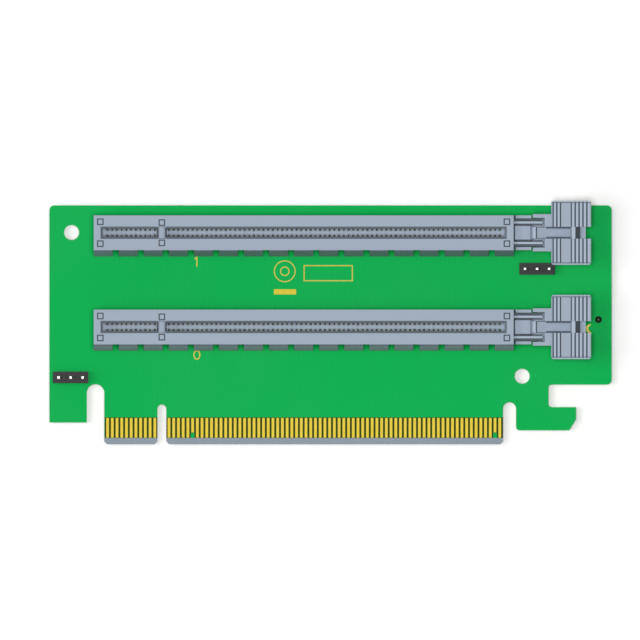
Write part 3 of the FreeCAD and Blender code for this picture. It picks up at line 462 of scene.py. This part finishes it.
# %% Moulded plastic
HOUSING_BLUE = linear(157, 170, 186)
HEADER_BLACK = linear(53, 51, 53)
EDGE_RADIUS = 0.00009


def with_painted_light_and_shade(tree, base, colour, place, tones):
    """The base with every region of a list mixed over it, each in its tone of the colour, as painted light or
    shade.
    """
    wanted = {name for factor, ranges in tones for name, *limits in ranges}
    measures = slot_measures(tree, place, wanted)
    for factor, ranges in tones:
        region = product(tree, *[within(tree, measures[name], *limits) for name, *limits in ranges])
        base = mixed(tree, region, base, tone(colour, factor))
    return base


def plastic_finish(name, colour, roughness, tones=()):
    """Matt moulded plastic: flow streaks along X, a fine mould texture, a painted highlight on the edges and
    the given tones of painted light and shade.
    """
    made, tree, shader, place = new_material(name)
    along = node(tree, "Mapping", Vector=place, Scale=(0.15, 1.0, 1.0)).outputs["Vector"]
    base = mixed(tree, noise(tree, along, scale=260.0, detail=2.0), tone(colour, 0.965), tone(colour, 1.03))
    rounded = node(tree, "Bevel", Radius=EDGE_RADIUS).outputs["Normal"]
    flat = tree.nodes.new("ShaderNodeNewGeometry").outputs["Normal"]
    facing = node(tree, "VectorMath", i0=rounded, i1=flat)
    facing.operation = "DOT_PRODUCT"
    # Painted highlight: at the edges, where the bevelled normal turns away from the face's, the colour is
    # lightened.
    painted_edge_highlight = between(tree, facing.outputs["Value"], 0.995, 0.90, 0.0, 0.35)
    base = mixed(tree, painted_edge_highlight, base, tone(colour, 1.18))
    # Painted light and shade from the given regions.
    if tones:
        base = with_painted_light_and_shade(tree, base, colour, place, tones)
    tree.links.new(base, shader.inputs["Base Color"])
    shader.inputs["Specular IOR Level"].default_value = 0.15
    grain = noise(tree, place, scale=6500.0, detail=2.0)
    rough = between(tree, grain, 0.2, 0.8, roughness - 0.05, roughness + 0.05)
    tree.links.new(rough, shader.inputs["Roughness"])
    shape = bump(tree, shader, grain, distance=0.000012)
    tree.links.new(rounded, shape.inputs["Normal"])
    return made


housing_plastic = plastic_finish("blue_grey_housing_plastic", HOUSING_BLUE, 0.55, HOUSING_PAINTED_LIGHT_AND_SHADE)
latch_plastic = plastic_finish("blue_grey_latch_plastic", HOUSING_BLUE, 0.55, LATCH_PAINTED_LIGHT_AND_SHADE)
header_plastic = plastic_finish("black_moulded_plastic", HEADER_BLACK, 0.6)
HEADERS = ("upper_header", "left_header")
for number in SLOT_LINES:
    dress(f"slot_{number}_housing", housing_plastic)
    dress(f"slot_{number}_latch", latch_plastic)
for header in HEADERS:
    dress(f"{header}_body", header_plastic)
print("nodes in the housings' plastic:", len(housing_plastic.node_tree.nodes))

# %% [markdown]
# Header pins and solder are tin: a bright, slightly uneven metal that takes its tone from the room, so its
# base colour is a pale grey. The contacts are spring bronze with a thin plating, which is a little warmer.
# All of them are one recipe with other colours, so one function makes them.

# %% Tin and spring bronze
PINS = (1, 2, 3)


def metal_finish(name, colour, low, high, metallic=0.8):
    """A plated metal whose tone wanders a little over its surface, and its roughness between low and high."""
    made, tree, shader, place = new_material(name)
    drift = noise(tree, place, scale=1800.0)
    tree.links.new(mixed(tree, drift, tone(colour, 0.9), tone(colour, 1.08)), shader.inputs["Base Color"])
    tree.links.new(between(tree, drift, 0.2, 0.8, low, high), shader.inputs["Roughness"])
    shader.inputs["Metallic"].default_value = metallic
    bump(tree, shader, noise(tree, place, scale=4200.0), distance=0.000008)
    return made


tin = metal_finish("bright_tin", linear(206, 206, 203), low=0.32, high=0.45)
solder = metal_finish("matt_solder", linear(196, 198, 200), low=0.3, high=0.5)
spring = metal_finish("plated_spring_bronze", linear(188, 176, 138), low=0.25, high=0.4)
for header in HEADERS:
    for pin in PINS:
        dress(f"{header}_pin_{pin}", tin)
print("tin on", len(HEADERS) * len(PINS), "header pins")

# %% [markdown]
# New pieces are few kinds of shape, repeated often. A tube of rings makes the strips, the solder and the
# print, and a copy at every place makes a row of them. The helpers work on whole arrays: points are added to
# places all at once, and the faces are numbers that follow from the grid of rings and sides.

# %% Building new pieces


def tube_faces(rings, sides, closed=False):
    """Faces of a tube of rings times sides points, joined end to start or with a cap on both ends."""
    ring, side = np.meshgrid(np.arange(rings if closed else rings - 1), np.arange(sides), indexing="ij")
    after, ahead = (side + 1) % sides, (ring + 1) % rings
    walls = np.stack([ring * sides + side, ring * sides + after, ahead * sides + after, ahead * sides + side],
                     axis=-1).reshape(-1, 4).tolist()
    if closed:
        return walls
    first = list(range(sides))[::-1]
    last = [(rings - 1) * sides + k for k in range(sides)]
    return walls + [first, last]


def joined(meshes):
    """Several meshes as one: the points end to end, and each mesh's faces with their numbers moved on."""
    faces, start = [], 0
    for points, own_faces in meshes:
        faces += [[corner + start for corner in face] for face in own_faces]
        start += len(points)
    return np.concatenate([points for points, own_faces in meshes]), faces


def repeated(points, faces, places):
    """The same mesh at each place: all places plus all points, and the faces' numbers moved on by copy."""
    everywhere = (places[:, None, :] + points).reshape(-1, 3)
    starts = range(0, len(everywhere), len(points))
    return everywhere, [[corner + start for corner in face] for start in starts for face in faces]


def new_piece(name, points, faces, made, body="card", smooth=False):
    """A mesh piece with its place in its vertices, one material and the body that it rides on."""
    mesh = bpy.data.meshes.new(name)
    mesh.from_pydata(np.asarray(points, float).tolist(), [], faces)
    mesh.materials.append(made)
    mesh.polygons.foreach_set("use_smooth", [smooth] * len(mesh.polygons))
    mesh.update()
    piece = bpy.data.objects.new(name, mesh)
    bpy.context.scene.collection.objects.link(piece)
    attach(piece, body)
    print(name, "has", len(mesh.polygons), "faces")
    return piece


print("a tube of three rings of four points has", len(tube_faces(3, 4)), "faces")

# %% [markdown]
# A contact is stamped and bent from strip: a leg stands on the board, a knee carries it inwards, and a
# rounded bump bears on the card, with the tip turned back under the housing's lip. One strip is a path in the
# plane across the slot, thickened to both sides and given its width along the slot. Every other leg of a row
# stands further out, so that the holes in the board aren't too close to each other.

# %% A bent strip
STRIP_WIDTH = 0.40
STRIP_HALF = 0.10
STRIP_RINGS = 15
OUTER_LEG, INNER_LEG = 2.80, 1.45


def smooth_path(points, count):
    """A curve through the points: each coordinate is a cubic Catmull-Rom blend of its four nearest points."""
    p = np.asarray(points, float)
    p = np.vstack([2 * p[0] - p[1], p, 2 * p[-1] - p[-2]])
    at = np.linspace(0, len(p) - 3, count)
    span = np.minimum(at.astype(int), len(p) - 4)
    t = (at - span)[:, None]
    a, b, c, d = (p[span + k] for k in range(4))
    return 0.5 * (2 * b + (c - a) * t + (2 * a - 5 * b + 4 * c - d) * t**2 + (3 * b - a - 3 * c + d) * t**3)


def unit(vectors):
    """Each row divided by its length."""
    return vectors / np.linalg.norm(vectors, axis=1)[:, None]


def left_of(vectors):
    """Each flat vector turned left by a right angle."""
    return np.stack([-vectors[:, 1], vectors[:, 0]], axis=1)


def spring_path(leg, side, height):
    """The middle line of one contact, across and up in mm: leg, knee, slope inwards, bump and tip.

    The leg stands that far from the slot's middle, to the side that the sign of side gives.
    """
    knee = [(leg, 2.6), (leg * 0.93, 5.0)]
    slope = [(leg * 0.35 + 0.62, 6.9)]
    bump_top = [(0.56, 8.45), (0.66, 9.1)]
    tip = [(0.92, height - 0.08)]
    route = [(leg, 0.0)] + knee + slope + bump_top + tip
    return smooth_path([(side * across, up) for across, up in route], STRIP_RINGS)


def strip_mesh(path):
    """One bent strip: the path offset to both sides by half its thickness, times two ends of its width."""
    side = left_of(unit(np.gradient(path, axis=0))) * STRIP_HALF
    one, other = path + side, path - side
    ring = np.stack([one, one, other, other], axis=1)
    ends = np.array([-1, 1, 1, -1]) * STRIP_WIDTH / 2
    corners = np.concatenate([np.broadcast_to(ends[None, :, None], (len(path), 4, 1)), ring], axis=2)
    return corners.reshape(-1, 3), tube_faces(len(path), 4)


print("one strip has", len(tube_faces(STRIP_RINGS, 4)), "faces")

# %% [markdown]
# Each slot holds two rows of 82 sprung contacts, 11 on the short side of the key bar and 71 on the long side,
# a millimetre apart. The solids of the frame are plainer, so each row replaces its node. One strip for each
# of the two legs is worked out and copied to its places.

# %% Contact springs
FIRST = 1.5
SHORT, LONG = 11, 71


def contact_places():
    """Where a row's contacts are along the edge, and how far each leg is from the slot's middle, in mm."""
    short = -FIRST - PITCH * np.arange(SHORT)[::-1]
    long = FIRST + PITCH * np.arange(LONG)
    counted = np.concatenate([np.arange(SHORT), np.arange(LONG)])
    return np.concatenate([short, long]), np.where(counted % 2 == 0, OUTER_LEG, INNER_LEG)


def contact_row(number, row, side):
    """All contacts of one row, as bent strips whose legs stand in two staggered lines."""
    cad = f"slot_{number}_contacts_{row}"
    low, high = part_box(cad)
    along, legs = contact_places()
    strips = []
    for leg in (OUTER_LEG, INNER_LEG):
        places = np.zeros((np.count_nonzero(legs == leg), 3))
        places[:, 0] = along[legs == leg]
        strips.append(repeated(*strip_mesh(spring_path(leg, side, (high.z - low.z) / MM)), places))
    points, faces = joined(strips)
    points = points * MM + np.array([KEY_X, SLOT_LINES[number], FRONT_Z])
    piece = new_piece(f"slot_{number}_{row}_springs", points, faces, spring)
    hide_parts(cad)


for number in SLOT_LINES:
    contact_row(number, "upper_row", 1)
    contact_row(number, "lower_row", -1)

# %% [markdown]
# On the back, each contact's tail comes through the board and stands in a small cone of solder. The cone is
# a profile turned about the tail: wide and thin at the copper ring, then drawn up in a hollow curve by the
# surface tension of the melt. The turned shape is a grid of angle and height, copied to each tail.

# %% Solder joints
RING = 12
CONTACT_JOINT = {"ring_radius": 0.52, "tail_radius": 0.19, "reach": 0.75}
PIN_JOINT = {"ring_radius": 0.85, "tail_radius": 0.42, "reach": 0.55}


def turned(profile):
    """A closed shape turned about Z: each profile point (radius, height) becomes a ring of RING points."""
    angle = np.arange(RING) * 2 * math.pi / RING
    radius, height = np.asarray(profile, float).T
    x = radius[:, None] * np.cos(angle)
    y = radius[:, None] * np.sin(angle)
    z = np.broadcast_to(height[:, None], x.shape)
    return np.stack([x, y, z], axis=-1).reshape(-1, 3), tube_faces(len(profile), RING)


def joint_profile(ring_radius, tail_radius, reach):
    """Radius falls from the copper ring to the tail as the square of what is left of the solder's height.

    The solder takes three quarters of the reach, and the tail with its rounded tip takes the rest.
    """
    rise = np.linspace(0, 1, 6)
    radius = tail_radius + (ring_radius - tail_radius) * (1 - rise) ** 2
    cone = list(zip(radius, -rise * reach * 0.75))
    return cone + [(tail_radius * 0.9, -reach * 0.95), (tail_radius * 0.55, -reach)]


def solder_joints(name, places, sizes):
    """One piece with a joint under the board at each place (x, y) in metres; the sizes are in mm."""
    points, faces = turned(np.array(joint_profile(**sizes)) * MM)
    below = np.column_stack([places, np.full(len(places), BACK_Z)])
    points, faces = repeated(points, [face[::-1] for face in faces], below)
    piece = new_piece(name, points, faces, solder, smooth=True)


along, legs = contact_places()
for number, line in SLOT_LINES.items():
    spots = [np.column_stack([KEY_X + along * MM, line + side * legs * MM]) for side in (1, -1)]
    solder_joints(f"slot_{number}_solder_joints", np.concatenate(spots), CONTACT_JOINT)
for header in HEADERS:
    boxes = [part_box(f"{header}_pin_{pin}") for pin in PINS]
    spots = np.array([[(low.x + high.x) / 2, (low.y + high.y) / 2] for low, high in boxes])
    solder_joints(f"{header}_solder_joints", spots, PIN_JOINT)

# %% [markdown]
# The marks are screen print: ink a few hundredths of a millimetre thick. Each mark is a line of a given width
# along a path, so one function makes them all: it offsets the path to both sides and gives the band a
# thickness. At a corner the offset is longer, as in a mitre, so that the band keeps its width.

# %% A band of ink
INK_HEIGHT = 0.02
SHARPEST = 0.35


def band(path, width, closed):
    """A line of ink: the path offset by half its width to both sides, with a flat top and a foot.

    The width is one number, or one for each point of the path. At a corner the offset is divided by the
    cosine of half its turn, and by no less than SHARPEST.
    """
    p = np.asarray(path, float)
    before, beyond = (p[-1:], p[:1]) if closed else (2 * p[:1] - p[1:2], 2 * p[-1:] - p[-2:-1])
    steps = unit(np.diff(np.vstack([before, p, beyond]), axis=0))
    behind, ahead = steps[:-1], steps[1:]
    normal = unit(left_of(ahead + behind))
    mitre = 1 / np.maximum(SHARPEST, (normal * left_of(ahead)).sum(axis=1))
    offset = normal * (mitre * width / 2)[:, None]
    left, right = p + offset, p - offset
    low, high = np.zeros((len(p), 1)), np.full((len(p), 1), INK_HEIGHT)
    ring = np.stack([np.hstack([left, low]), np.hstack([left, high]),
                     np.hstack([right, high]), np.hstack([right, low])], axis=1)
    return ring.reshape(-1, 3), tube_faces(len(p), 4, closed)


def oval(half_width, half_height, count=28):
    """An ellipse, anticlockwise."""
    angle = np.arange(count) * 2 * math.pi / count
    return np.stack([half_width * np.cos(angle), half_height * np.sin(angle)], axis=1)


def printed(name, lines, across, up, made):
    """One printed piece from several (path, width, closed) lines about a place on the board."""
    points, faces = joined([band(*line) for line in lines])
    piece = new_piece(name, points * MM + on_card(across, up), faces, made)


print("a ring of ink has", len(band(oval(1, 1), 0.2, True)[1]), "faces")

# %% [markdown]
# The ink is yellow, and a little darker where the screen left it thin. The print is generic: a plain number
# beside each slot, an empty box, a ring in a ring, and a small crescent, which is widest in its middle. The
# crescent lies in the shade of a latch, so its ink is painted brighter: painted light that offsets the shade.

# %% Printed marks
LINE, NUMBER_LINE = 0.24, 0.26
SLOT_1_NUMBER, SLOT_0_NUMBER = (7.4, 38.6), (7.4, 18.9)
EMPTY_BOX, ROUND_TARGET, CRESCENT = (35.2, 36.2), (26.0, 36.6), (89.97, 24.39)


def ink_finish(name, colour):
    """Yellow print whose colour and gloss vary with the thickness of the ink."""
    made, tree, shader, place = new_material(name)
    thin = noise(tree, place, scale=2400.0, detail=4.0)
    tree.links.new(mixed(tree, between(tree, thin, 0.45, 0.8), colour, tone(colour, 0.75)),
                   shader.inputs["Base Color"])
    tree.links.new(between(tree, thin, 0.2, 0.8, 0.55, 0.7), shader.inputs["Roughness"])
    bump(tree, shader, thin, distance=0.000006)
    return made


ink = ink_finish("yellow_print", linear(206, 190, 60))
# Painted light: a brighter ink for the crescent, to offset the latch's shade over it.
painted_light_ink = ink_finish("painted_light_yellow_print", linear(255, 240, 106))
one = [([(-0.45, 0.55), (0.0, 1.0), (0.0, -1.0)], NUMBER_LINE, False)]
zero = [(oval(0.62, 0.9), NUMBER_LINE, True)]
printed("slot_1_number", one, *SLOT_1_NUMBER, ink)
printed("slot_0_number", zero, *SLOT_0_NUMBER, ink)
box_path = [(-5.1, -1.6), (5.1, -1.6), (5.1, 1.6), (-5.1, 1.6)]
printed("empty_box", [(box_path, LINE, True)], *EMPTY_BOX, ink)
target = [(oval(2.2, 2.2, 40), LINE, True), (oval(0.9, 0.9), LINE, True)]
printed("round_target", target, *ROUND_TARGET, ink)
crescent = smooth_path([(0.84, 0.99), (0.25, 0.63), (0.0, 0.10), (0.31, -0.54), (1.01, -0.98)], 13)
swelling = 0.14 + 0.46 * np.sin(np.linspace(0, math.pi, len(crescent)))
printed("crescent", [(crescent, swelling, False)], *CRESCENT, painted_light_ink)

# %% [markdown]
# A round dark spot lies beside slot 0's latch. Placement machines aim at such spots: a small tinned dot in a
# ring where the mask is left off and the dark laminate shows. Ring and dot are two bands, one in the other.

# %% Aiming spot
SPOT = (92.39, 26.37)


def laminate_finish():
    """Bare laminate under a ring of missing mask: dark green, with the glass cloth's fine mottle."""
    made, tree, shader, place = new_material("bare_laminate")
    mottle = noise(tree, place, scale=3200.0, detail=4.0)
    tree.links.new(mixed(tree, mottle, linear(1, 20, 4), linear(6, 38, 12)), shader.inputs["Base Color"])
    tree.links.new(between(tree, mottle, 0.2, 0.8, 0.6, 0.75), shader.inputs["Roughness"])
    shader.inputs["Specular IOR Level"].default_value = 0.1
    bump(tree, shader, mottle, distance=0.000006)
    return made


dull_tin = metal_finish("dull_tin", linear(104, 116, 88), low=0.5, high=0.6, metallic=0.3)
printed("aiming_ring", [(oval(0.43, 0.43), 0.62, True)], *SPOT, laminate_finish())
printed("aiming_dot", [(oval(0.07, 0.07, 12), 0.13, True)], *SPOT, dull_tin)

# %% [markdown]
# The card lies on a white table. The table is white where the camera sees it, itself or mirrored in metal, so
# that it keeps only the card's own soft shadow. To the light that bounces off it onto the card it is a little
# greyer, so that the card isn't lit from below more than it would be in a room.

# %% Table
FLOOR_HALF = 1.5
TABLE_GREY = (0.86, 0.86, 0.86, 1.0)
WHITE = (1.0, 1.0, 1.0, 1.0)


def seen(tree):
    """One where the camera sees a surface itself or mirrored, and zero where it only lights others."""
    path = tree.nodes.new("ShaderNodeLightPath")
    mirrored = maths(tree, "MAXIMUM", path.outputs["Is Glossy Ray"], path.outputs["Is Transmission Ray"])
    return maths(tree, "MAXIMUM", path.outputs["Is Camera Ray"], mirrored)


def floor_finish():
    """A pale table: plain diffuse white where it is seen, lifted a little, and light grey otherwise."""
    made, tree, shader, _ = new_material("white_table")
    shader.inputs["Base Color"].default_value = TABLE_GREY
    shader.inputs["Roughness"].default_value = 0.9
    white = node(tree, "BsdfDiffuse", Color=WHITE)
    glow = node(tree, "Emission", Color=WHITE, Strength=0.06)
    lifted = node(tree, "AddShader", i0=white.outputs[0], i1=glow.outputs[0])
    both = node(tree, "MixShader", Fac=seen(tree), i1=shader.outputs[0], i2=lifted.outputs[0])
    tree.links.new(both.outputs[0], tree.nodes["Material Output"].inputs["Surface"])
    return made


corners = np.array([[-1, -1, 0], [1, -1, 0], [1, 1, 0], [-1, 1, 0]]) * FLOOR_HALF
floor_mesh = bpy.data.meshes.new("table_top")
floor_mesh.from_pydata(corners.tolist(), [], [(0, 1, 2, 3)])
floor_mesh.materials.append(floor_finish())
table_top = bpy.data.objects.new("table_top", floor_mesh)
bpy.context.scene.collection.objects.link(table_top)
print("table is", 2 * FLOOR_HALF, "m wide")

# %% [markdown]
# An even white sky and two round softboxes light the card. One softbox hangs straight above and reaches down
# into the slots. The other stands to the left, as in the picture, where the left side of each rib is light
# and its right side is dark. Its light runs along the slots, so they stay open to it. The sky is weak as a
# light, and white where it is seen.

# %% Sky and softboxes
SKY_STRENGTH = 0.19
LAMP_DISTANCE = 2.0
LEFT_TILT = math.radians(25)

world = bpy.data.worlds.new("studio")
world.use_nodes = True
bpy.context.scene.world = world
sky = world.node_tree
strength = node(sky, "Mix", i0=seen(sky), i2=SKY_STRENGTH, i3=1.0)
sky.links.new(strength.outputs[0], sky.nodes["Background"].inputs["Strength"])
sky.nodes["Background"].inputs["Color"].default_value = WHITE


def softbox(name, tilt, size, share):
    """A round lamp that leans to the left by tilt and gives a level white face the given share of its tone.

    A level face reflects its colour times energy * cos(tilt) / (pi * distance) ** 2.
    """
    lamp = bpy.data.lights.new(name, "AREA")
    lamp.shape = "DISK"
    lamp.size = size
    lamp.energy = share * (math.pi * LAMP_DISTANCE)**2 / math.cos(tilt)
    hung = bpy.data.objects.new(name, lamp)
    hung.location = (-LAMP_DISTANCE * math.sin(tilt), 0.0, LAMP_DISTANCE * math.cos(tilt))
    hung.rotation_euler = (0.0, -tilt, 0.0)
    bpy.context.scene.collection.objects.link(hung)
    print(name, "gives", round(lamp.energy, 1), "W")


softbox("overhead_softbox", tilt=0.0, size=0.34, share=0.56)
softbox("left_softbox", tilt=LEFT_TILT, size=1.00, share=0.25)

# %% [markdown]
# The picture has no perspective at all: every hole is round and both slots are the same. So the camera is
# orthographic and looks straight down, and its scale is the picture's 4.725 pixels to the millimetre. Its
# height changes nothing in such a view, as long as it is above the card.

# %% Camera
PIXELS_PER_MM = 4.725
PICTURE = 640
PICTURE_MIDDLE = (33.46, 26.29)
CAMERA_HEIGHT = 500.0

camera_data = bpy.data.cameras.new("camera")
camera_data.type = "ORTHO"
camera_data.ortho_scale = PICTURE / PIXELS_PER_MM * MM
camera_data.clip_end = 10 * CAMERA_HEIGHT * MM
camera = bpy.data.objects.new("camera", camera_data)
camera.location = on_card(*PICTURE_MIDDLE, CAMERA_HEIGHT)
bpy.context.scene.collection.objects.link(camera)
bpy.context.scene.camera = camera
bpy.context.scene.view_settings.view_transform = "Standard"
print("the picture is", round(camera_data.ortho_scale / MM, 1), "mm wide")
